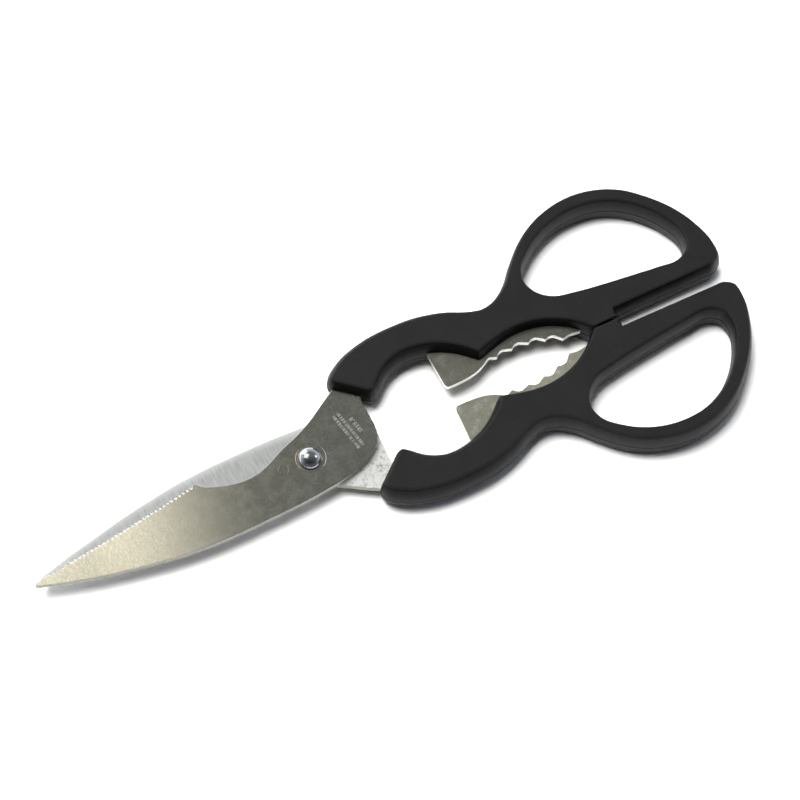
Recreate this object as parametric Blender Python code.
"""Poultry shears: two stamped blades on one rivet, with moulded handles.

Each blade is one stamping: the blade, its shank, and a tang that runs through its handle. The tang shows
again between the handles as a bottle-opener tab and a row of nutcracker teeth. Outlines are drawn in
millimetres in the plan, for the half whose handle lies at +Y, with the pivot at (0, 0) and the blade's tip
at -X. The other half is its mirror image. The shears lie closed and flat, with their handles on z = 0.
"""

import math

import bmesh
import bpy
from mathutils import Matrix, Vector

MM = 0.001

# Layers, from the bottom of the handles up.
HANDLE_THICKNESS = 12.5
BLADE_THICKNESS = 2.0
LAYER_GAP = 0.3
MID_HEIGHT = HANDLE_THICKNESS / 2
UPPER_BLADE_BASE = MID_HEIGHT + LAYER_GAP / 2
LOWER_BLADE_BASE = UPPER_BLADE_BASE - LAYER_GAP - BLADE_THICKNESS

# Handle walls: how far they swell out between the two flat faces, round the grip and round the finger loop.
GRIP_SWELL = 2.0
LOOP_SWELL = 1.0
GRIP_END_X = 45.0
LOOP_START_X = 80.0
FRONT_SWELL = 1.4
WALL_BANDS = 6
CORNER_RADIUS = 1.0
CORNER_STEPS = 4
STOP_CLEARANCE = 0.3

# Blades. A grind is a width on the outer face. The saw edge is cut by a wheel that goes deeper in the
# gullets than at the teeth's points; the plain edge's grind starts behind the tip and widens.
CUTTING_LAND = 0.6
NOTCH_GRIND = 0.3
TOOTH_GRIND = 0.3
GULLET_GRIND = 0.8
PLAIN_GRIND = 3.0
PLAIN_GRIND_START = 2.0
PLAIN_GRIND_TAPER = 18.0
TIP_RADIUS = 0.6
TAB_RADIUS = 1.2
SERRATIONS = 36
SERRATION_DEPTH = 0.5

# Pivot rivet.
SHANK_RADIUS = 2.5
RUNNING_CLEARANCE = 0.1
DOME_RADIUS = 3.6
DOME_HEIGHT = 2.3
DOME_STEPS = 8
TAIL_RADIUS = 3.6
TAIL_THICKNESS = 0.8
TAIL_CHAMFER = 0.5
WASHER_RADIUS = 5.0
WASHER_THICKNESS = 0.6
WASHER_CLEARANCE = 0.3
ROUND_STEPS = 40

# Moulded pegs that lock each handle through its tang.
PEG_CENTRES = ((50.5, 18.0), (72.0, 13.2))
PEG_RADIUS = 1.5
PEG_CLEARANCE = 0.3

# The spacing of the points along curved outlines, and along the long flat curves of the blades.
CURVE_STEP = 2.2
BLADE_STEP = 5.0
EDGE_STEP = 0.5

# A cutter's reach past the faces that it cuts, how near two points are the same one, and how near a
# rounded corner's arc the next point of the outline may stay.
OVERRUN = 1.0
SAME_POINT = 1e-6
LEAST_GAP = 0.05

# Two edges of an outline that turn by more than this make a corner, and not a stretch of a curve.
CORNER_SINE = 0.25

# Finishes: colour, roughness, metallic.
BLADE_FINISH = ((0.62, 0.61, 0.57), 0.32, 1.0)
HANDLE_FINISH = ((0.022, 0.022, 0.022), 0.42, 0.0)
RIVET_FINISH = ((0.78, 0.78, 0.78), 0.12, 1.0)
WASHER_FINISH = ((0.6, 0.6, 0.6), 0.3, 1.0)
SHARP_ANGLE = 30.0

# Outlines of the +Y half, in order round each piece.
HANDLE_OUTER = (
    (14.8, 18.2), (20.5, 22.1), (28.5, 24.6), (37.5, 25.3), (47.0, 24.6), (54.0, 22.8),
    (60.0, 20.2), (64.5, 19.1), (69.0, 20.1), (73.5, 23.1), (79.0, 29.2), (84.5, 34.4),
    (90.0, 37.8), (96.0, 39.9), (103.0, 40.8), (110.5, 39.8), (118.0, 36.5), (124.5, 30.8),
    (130.0, 23.8), (133.5, 16.4), (135.1, 9.0), (134.6, 5.2), (131.8, 3.4),
)
HANDLE_STEP_X = 99.0
HANDLE_SLOT_Y = 3.2
JAW_ARC = (
    (91.5, STOP_CLEARANCE), (85.3, 5.8), (78.5, 9.1), (70.5, 10.4), (63.5, 9.5), (57.7, 7.9),
)
BOW_ARC = (
    (57.7, 7.9), (53.0, 12.4), (47.0, 15.9), (41.0, 17.5), (35.5, 17.5), (30.7, 15.7), (24.4, 10.0),
)
FINGER_LOOP = (
    (79.2, 22.4), (80.6, 26.6), (84.6, 30.6), (90.4, 34.3), (97.0, 36.5), (103.4, 37.1),
    (110.0, 36.2), (116.0, 33.6), (121.5, 29.2), (126.2, 23.0), (128.7, 16.6), (127.8, 11.2),
    (123.5, 8.7), (117.0, 9.1), (109.0, 10.0), (100.0, 11.1), (91.0, 12.5), (85.2, 13.9), (81.2, 17.0),
)
TANG_INNER = (
    (21.0, 10.7), (21.9, 13.6), (24.8, 16.0), (29.0, 17.9), (34.0, 18.6), (39.5, 18.4), (44.3, 17.6),
)
TAB_CORNER = (44.9, 2.8)
TAB_EDGE = (TAB_CORNER, (48.6, 2.8), (52.0, 3.0), (55.8, 3.8), (58.4, 5.0), (60.2, 6.1))
SHANK_TOP = (0.8, 8.6)
TANG_OUTER = (
    (95.5, 5.2), (94.0, 7.4), (88.0, 10.4), (82.0, 13.0), (76.0, 16.2), (70.5, 17.3), (64.5, 17.0),
    (57.0, 19.0), (47.5, 21.8), (37.5, 22.7), (28.0, 21.9), (20.5, 19.4), (13.7, 16.0), (9.2, 13.3),
    (5.0, 10.7), SHANK_TOP,
)
SHANK_FOOT = (6.0, -10.1)
HEEL = (SHANK_FOOT, (10.0, -9.3), (13.6, -8.1), (17.0, -6.3), (19.6, -3.9), (21.0, -0.4))
POCKET_FRONT = (0.6, -5.0)
UPPER_SPINE = (
    (-88.3, -1.0), (-80.0, -3.8), (-70.0, -6.6), (-60.0, -8.7), (-50.0, -10.5), (-40.0, -11.7),
    (-30.0, -12.1), (-18.0, -11.9), (-5.0, -11.3), SHANK_FOOT,
)
BONE_NOTCH = (
    SHANK_TOP, (-1.8, 7.8), (-6.8, 6.0), (-11.3, 3.9), (-15.3, 2.5), (-19.3, 2.1), (-23.8, 2.7),
    (-28.3, 4.1), (-31.6, 5.7), (-33.2, 7.3),
)
SERRATED_EDGE = ((-34.0, 7.4), (-48.0, 5.1), (-64.6, 2.7), (-77.6, 1.0), (-81.8, 0.2))
LOWER_SPINE = (
    (-87.2, -0.1), (-80.5, -1.7), (-74.0, -3.4), (-66.0, -5.1), (-56.6, -7.2), (-46.6, -8.9),
    (-38.0, -10.1), (-30.0, -10.7), (-17.5, -11.0), (-5.0, -10.9), SHANK_FOOT,
)
PLAIN_EDGE = (
    SHANK_TOP, (-5.0, 7.6), (-15.0, 7.0), (-30.0, 6.4), (-45.0, 4.9), (-60.0, 3.0), (-74.0, 1.1),
    (-87.2, 0.1),
)

# Nutcracker teeth: their points lie on one circle, and each hollow is a (share of the pitch, depth) curve.
JAW_CENTRE = (68.0, -24.9)
JAW_RADIUS = 30.6
JAW_FIRST_ANGLE = 100.5
JAW_PITCH_ANGLE = -9.65
JAW_HOLLOWS = 4
HOLLOW_PROFILE = ((0.0, 0.0), (0.24, 0.85), (0.5, 1.05), (0.8, 0.4))
JAW_END = ((85.0, 2.5), (88.0, 2.2), (91.5, 2.6))


def clear_scene():
    """Removes what is in the scene already."""
    for obj in list(bpy.data.objects):
        bpy.data.objects.remove(obj)


def curve_through(knots, step=CURVE_STEP):
    """Points along a smooth curve through the knots, a cubic between each two."""
    points = [Vector(knot) for knot in knots]
    spans = [(b - a).length for a, b in zip(points, points[1:])]
    slopes = [(b - a) / span for a, b, span in zip(points, points[1:], spans)]
    inner = [
        (before * long + after * short) / (short + long)
        for before, after, short, long in zip(slopes, slopes[1:], spans, spans[1:])
    ]
    first = 1.5 * slopes[0] - 0.5 * inner[0]
    last = 1.5 * slopes[-1] - 0.5 * inner[-1]
    tangents = [first, *inner, last]
    curve = []
    for index, span in enumerate(spans):
        count = max(1, round(span / step))
        for part in range(count):
            t = part / count
            start = (1 + 2 * t) * (1 - t) ** 2 * points[index]
            end = t * t * (3 - 2 * t) * points[index + 1]
            leave = t * (1 - t) ** 2 * span * tangents[index]
            arrive = t * t * (1 - t) * span * tangents[index + 1]
            curve.append(start + end + leave - arrive)
    return curve + [points[-1]]


def closed_curve(knots, step=CURVE_STEP):
    """Points along a smooth closed curve through the knots."""
    extra = list(knots[-3:])
    lap = curve_through(extra + list(knots) + list(knots[:4]), step)
    passes = [i for i, point in enumerate(lap) if (point - Vector(knots[0])).length < SAME_POINT]
    return lap[passes[0] : passes[-1]]


def wall_swell(point):
    """The swell of a handle's wall at a plan point: it eases from the grip to the finger loop."""
    share = min(1.0, max(0.0, (point.x - GRIP_END_X) / (LOOP_START_X - GRIP_END_X)))
    return GRIP_SWELL + share * (LOOP_SWELL - GRIP_SWELL)


def joined(*stretches):
    """One loop of (point, swell of the edge that leaves it) from stretches of (points, swell).

    A swell is a number, or a function of the point.
    """
    loop = []
    for points, swell in stretches:
        for point in map(Vector, points):
            if loop and (loop[-1][0] - point).length < SAME_POINT:
                loop.pop()
            loop.append((point, swell(point) if callable(swell) else swell))
    if (loop[0][0] - loop[-1][0]).length < SAME_POINT:
        loop.pop()
    return loop


def round_corner(loop, corner, radius):
    """The loop with the corner at this point made an arc; points close to the arc's ends go."""
    corner = Vector(corner)
    at = min(range(len(loop)), key=lambda i: (loop[i][0] - corner).length)
    loop = loop[at:] + loop[:at]
    into = (loop[0][0] - loop[-1][0]).normalized()
    out = (loop[1][0] - loop[0][0]).normalized()
    turn = into.angle_signed(out)
    cut = radius * math.tan(abs(turn) / 2)
    centre = loop[0][0] - into * cut + math.copysign(radius, -turn) * Vector((-into.y, into.x))
    swell_in, swell_out = loop[-1][1], loop[0][1]
    rest = [vertex for vertex in loop[1:] if (vertex[0] - loop[0][0]).length > cut + LEAST_GAP]
    arm = loop[0][0] - into * cut - centre
    arc = []
    for step in range(CORNER_STEPS + 1):
        share = step / CORNER_STEPS
        turned = Matrix.Rotation(-turn * share, 2) @ arm
        arc.append((centre + turned, swell_in + (swell_out - swell_in) * share))
    return arc + rest


def swelled(loop):
    """(point, move) of each vertex, where the move takes its two edges outwards by their swells.

    At a corner the moved edges meet exactly; along a curve they share the middle of their normals.
    """
    moved = []
    for index, (point, swell_out) in enumerate(loop):
        before, swell_in = loop[index - 1]
        after = loop[(index + 1) % len(loop)][0]
        into = (point - before).normalized()
        out = (after - point).normalized()
        first, second = Vector((into.y, -into.x)), Vector((out.y, -out.x))
        cross = first.x * second.y - first.y * second.x
        if abs(cross) > CORNER_SINE:
            x = (swell_in * second.y - swell_out * first.y) / cross
            y = (first.x * swell_out - second.x * swell_in) / cross
            moved.append((point, Vector((x, y))))
        else:
            middle = (first + second).normalized()
            moved.append((point, middle * (swell_in + swell_out) / 2 / middle.dot(first)))
    return moved


def mirrored(outline):
    """The outline of the other half, still counter-clockwise."""
    return [(Vector((p.x, -p.y)), Vector((move.x, -move.y))) for p, move in reversed(outline)]


def slab(name, outline, levels):
    """A closed solid with one ring of the outline at each (height, share of its moves)."""
    bm = bmesh.new()
    rings = []
    for height, share in levels:
        ring = [point + share * move for point, move in outline]
        rings.append([bm.verts.new((p.x * MM, p.y * MM, height * MM)) for p in ring])
    count = len(outline)
    for low, high in zip(rings, rings[1:]):
        for i in range(count):
            j = (i + 1) % count
            bm.faces.new((low[i], low[j], high[j], high[i]))
    bm.faces.new(list(reversed(rings[0])))
    bm.faces.new(rings[-1])
    mesh = bpy.data.meshes.new(name)
    bm.to_mesh(mesh)
    bm.free()
    obj = bpy.data.objects.new(name, mesh)
    bpy.context.scene.collection.objects.link(obj)
    return obj


def wall_levels():
    """Heights up a handle's wall with the share of the swell at each: an arc from face to face."""
    radius = (MID_HEIGHT**2 + GRIP_SWELL**2) / (2 * GRIP_SWELL)
    widest = math.asin(MID_HEIGHT / radius)
    levels = []
    for band in range(WALL_BANDS + 1):
        angle = widest * (2 * band / WALL_BANDS - 1)
        share = (radius * math.cos(angle) - (radius - GRIP_SWELL)) / GRIP_SWELL
        levels.append((MID_HEIGHT + radius * math.sin(angle), share))
    return levels


def disc(name, centre, radius, base, top):
    """A closed round prism standing on the plan point."""
    ring = []
    for step in range(ROUND_STEPS):
        angle = 2 * math.pi * step / ROUND_STEPS
        spoke = radius * Vector((math.cos(angle), math.sin(angle)))
        ring.append((Vector(centre) + spoke, Vector((0, 0))))
    return slab(name, ring, [(base, 0), (top, 0)])


def cut(obj, cutter):
    """Takes the cutter's shape out of the object."""
    cutter.hide_render = True
    cutter.display_type = "WIRE"
    boolean = obj.modifiers.new("cut " + cutter.name, "BOOLEAN")
    boolean.operation = "DIFFERENCE"
    boolean.solver = "EXACT"
    boolean.object = cutter


def finish(obj, look):
    """Gives the object a material of its own."""
    colour, roughness, metallic = look
    material = bpy.data.materials.new(obj.name)
    material.use_nodes = True
    shader = material.node_tree.nodes["Principled BSDF"]
    shader.inputs["Base Color"].default_value = (*colour, 1)
    shader.inputs["Roughness"].default_value = roughness
    shader.inputs["Metallic"].default_value = metallic
    obj.data.materials.append(material)
    return obj


def handle_outline():
    """The handle's face, counter-clockwise: front end, bow, jaw, stop, slot, then round the outside."""
    outside = list(reversed(curve_through(HANDLE_OUTER)))
    bow = list(reversed(curve_through(BOW_ARC)))
    jaw = list(reversed(curve_through(JAW_ARC)))
    step_top = (HANDLE_STEP_X, HANDLE_SLOT_Y)
    step_foot = (HANDLE_STEP_X, STOP_CLEARANCE)
    loop = joined(
        (bow, wall_swell),
        (jaw, wall_swell),
        ([jaw[-1], step_foot], 0.0),
        ([step_foot, step_top], 0.0),
        ([step_top, outside[0]], wall_swell),
        (outside, wall_swell),
        ([outside[-1]], FRONT_SWELL),
    )
    loop = round_corner(loop, HANDLE_OUTER[0], CORNER_RADIUS)
    loop = round_corner(loop, BOW_ARC[-1], CORNER_RADIUS)
    return swelled(loop)


def teeth():
    """Nutcracker teeth: past its point each one drops steeply into a hollow, which climbs to the next."""
    steps = [(tooth + share, depth) for tooth in range(JAW_HOLLOWS) for share, depth in HOLLOW_PROFILE]
    steps.append((JAW_HOLLOWS, 0.0))
    points = []
    for along, depth in steps:
        angle = math.radians(JAW_FIRST_ANGLE + JAW_PITCH_ANGLE * along)
        reach = JAW_RADIUS + depth
        points.append(Vector(JAW_CENTRE) + reach * Vector((math.cos(angle), math.sin(angle))))
    return points


def saw_edge():
    """(point, grind) along the fine saw edge from the hump to near the tip, tooth and gullet in turn."""
    line = curve_through(SERRATED_EDGE, EDGE_STEP)
    lengths = [0.0]
    for a, b in zip(line, line[1:]):
        lengths.append(lengths[-1] + (b - a).length)
    points = []
    for half in range(2 * SERRATIONS + 1):
        target = lengths[-1] * half / (2 * SERRATIONS)
        index = next(i for i in range(1, len(lengths)) if lengths[i] >= target - SAME_POINT)
        share = (target - lengths[index - 1]) / (lengths[index] - lengths[index - 1])
        point = line[index - 1].lerp(line[index], share)
        if half % 2:
            points.append((point - Vector((0, SERRATION_DEPTH)), GULLET_GRIND))
        else:
            points.append((point, TOOTH_GRIND))
    return points


def tang_points():
    """From the heel's foot round the tang and back to the shank's top."""
    heel = curve_through(HEEL)
    inner = curve_through(TANG_INNER)
    tab = curve_through(TAB_EDGE)
    outer = curve_through(TANG_OUTER)
    return heel + inner + tab + teeth() + [Vector(p) for p in JAW_END] + outer


def stamping_outline(spine, *edges):
    """The whole stamping, counter-clockwise, with the grind along its cutting edge as its move."""
    loop = joined((curve_through(spine, BLADE_STEP), 0.0), (tang_points(), 0.0), *edges)
    loop = round_corner(loop, spine[0], TIP_RADIUS)
    loop = round_corner(loop, TAB_CORNER, TAB_RADIUS)
    return [(point, Vector((0, -grind))) for point, grind in loop]


def upper_outline():
    """The stamping with the bone notch, the hump and the saw edge."""
    notch = (curve_through(BONE_NOTCH)[1:], NOTCH_GRIND)
    return stamping_outline(UPPER_SPINE, notch, *[([point], grind) for point, grind in saw_edge()])


def plain_grind(point):
    """The width of the plain edge's grind at a plan point."""
    along = point.x - LOWER_SPINE[0][0] - PLAIN_GRIND_START
    return PLAIN_GRIND * min(1.0, max(0.0, along / PLAIN_GRIND_TAPER))


def lower_outline():
    """The stamping with the plain edge."""
    return stamping_outline(LOWER_SPINE, (curve_through(PLAIN_EDGE, BLADE_STEP)[1:-1], plain_grind))


def make_blade(name, outline, base, outer_face_up):
    """One stamping, ground on its outer face along the cutting edge, with its pivot and peg holes."""
    top = base + BLADE_THICKNESS
    if outer_face_up:
        levels = [(base, 0), (base + CUTTING_LAND, 0), (top, 1)]
    else:
        levels = [(base, 1), (top - CUTTING_LAND, 0), (top, 0)]
        outline = mirrored(outline)
    blade = slab(name, outline, levels)
    side = 1 if outer_face_up else -1
    holes = [((0.0, 0.0), SHANK_RADIUS + RUNNING_CLEARANCE)]
    holes += [((x, side * y), PEG_RADIUS + PEG_CLEARANCE) for x, y in PEG_CENTRES]
    for index, (centre, radius) in enumerate(holes):
        cut(blade, disc(f"{name} hole {index}", centre, radius, base - OVERRUN, top + OVERRUN))
    return finish(blade, BLADE_FINISH)


def tang_pocket(name, side, base):
    """The room for the tang inside a handle, less the pegs that pass through it."""
    loop = joined((tang_points(), LAYER_GAP), ([POCKET_FRONT], LAYER_GAP))
    outline = swelled(round_corner(loop, TAB_CORNER, TAB_RADIUS))
    if side < 0:
        outline = mirrored(outline)
    foot = base - LAYER_GAP
    top = base + BLADE_THICKNESS + LAYER_GAP
    pocket = slab(name, outline, [(foot, 1), (top, 1)])
    for index, (x, y) in enumerate(PEG_CENTRES):
        peg = disc(f"{name} peg {index}", (x, side * y), PEG_RADIUS, foot - OVERRUN, top + OVERRUN)
        cut(pocket, peg)
    return pocket


def make_handle(name, side, blade_base):
    """One moulding: flat faces, swelling walls, a finger loop, and a pocket that holds the tang."""
    outline = handle_outline()
    hole = swelled(joined((list(reversed(closed_curve(FINGER_LOOP))), -LOOP_SWELL)))
    if side < 0:
        outline = mirrored(outline)
        hole = mirrored(hole)
    handle = slab(name, outline, wall_levels())
    through = [(-OVERRUN, 0), *wall_levels(), (HANDLE_THICKNESS + OVERRUN, 0)]
    cut(handle, slab(name + " finger loop", hole, through))
    cut(handle, tang_pocket(name + " tang pocket", side, blade_base))
    return finish(handle, HANDLE_FINISH)


def make_turned(name, profile):
    """A solid of revolution about the pivot; the profile runs down its outer side, top to bottom."""
    points = [(radius * MM, 0, height * MM) for radius, height in profile]
    edges = [(i, i + 1) for i in range(len(points) - 1)]
    mesh = bpy.data.meshes.new(name)
    mesh.from_pydata(points, edges, [])
    obj = bpy.data.objects.new(name, mesh)
    bpy.context.scene.collection.objects.link(obj)
    screw = obj.modifiers.new("turn", "SCREW")
    screw.steps = ROUND_STEPS
    screw.render_steps = ROUND_STEPS
    screw.use_merge_vertices = True
    screw.merge_threshold = SAME_POINT
    return obj


def make_rivet():
    """Domed head above the upper blade, plain shank, and a peened tail under the washer."""
    head_base = UPPER_BLADE_BASE + BLADE_THICKNESS + LAYER_GAP
    tail_top = LOWER_BLADE_BASE - LAYER_GAP - WASHER_THICKNESS - LAYER_GAP
    tail_foot = tail_top - TAIL_THICKNESS
    sphere = (DOME_RADIUS**2 + DOME_HEIGHT**2) / (2 * DOME_HEIGHT)
    widest = math.asin(DOME_RADIUS / sphere)
    profile = []
    for step in range(DOME_STEPS + 1):
        angle = widest * step / DOME_STEPS
        height = head_base + DOME_HEIGHT - sphere * (1 - math.cos(angle))
        profile.append((sphere * math.sin(angle), height))
    profile += [(SHANK_RADIUS, head_base), (SHANK_RADIUS, tail_top), (TAIL_RADIUS, tail_top)]
    profile += [(TAIL_RADIUS - TAIL_CHAMFER, tail_foot), (0, tail_foot)]
    return finish(make_turned("pivot_rivet", profile), RIVET_FINISH)


def make_washer():
    """A plain washer between the lower blade and the rivet's tail."""
    top = LOWER_BLADE_BASE - LAYER_GAP
    foot = top - WASHER_THICKNESS
    washer = disc("back_washer", (0, 0), WASHER_RADIUS, foot, top)
    bore = SHANK_RADIUS + WASHER_CLEARANCE
    cut(washer, disc("back_washer bore", (0, 0), bore, foot - OVERRUN, top + OVERRUN))
    return finish(washer, WASHER_FINISH)


def hang(empty_name, pieces, pivot_x):
    """Parents the pieces to an empty on the pivot's axis."""
    empty = bpy.data.objects.new(empty_name, None)
    empty.location = (pivot_x, 0, 0)
    bpy.context.scene.collection.objects.link(empty)
    for piece in pieces:
        piece.parent = empty
        for modifier in piece.modifiers:
            follow_cutters(modifier, empty)


def follow_cutters(modifier, empty):
    """Puts a cutter, and the cutters that shape it, under the same empty."""
    if modifier.type == "BOOLEAN":
        modifier.object.parent = empty
        for inner in modifier.object.modifiers:
            follow_cutters(inner, empty)


def main():
    clear_scene()
    upper = [
        make_blade("upper_blade", upper_outline(), UPPER_BLADE_BASE, True),
        make_handle("upper_handle", 1, UPPER_BLADE_BASE),
    ]
    lower = [
        make_blade("lower_blade", lower_outline(), LOWER_BLADE_BASE, False),
        make_handle("lower_handle", -1, LOWER_BLADE_BASE),
        make_rivet(),
        make_washer(),
    ]
    for piece in upper + lower:
        piece.data.shade_smooth()
        piece.data.set_sharp_from_angle(angle=math.radians(SHARP_ANGLE))
    rear = max((point + move).x for point, move in handle_outline())
    front = min(point.x for point, _ in upper_outline())
    pivot_x = -(rear + front) / 2 * MM
    hang("upper_half", upper, pivot_x)
    hang("lower_half", lower, pivot_x)


main()
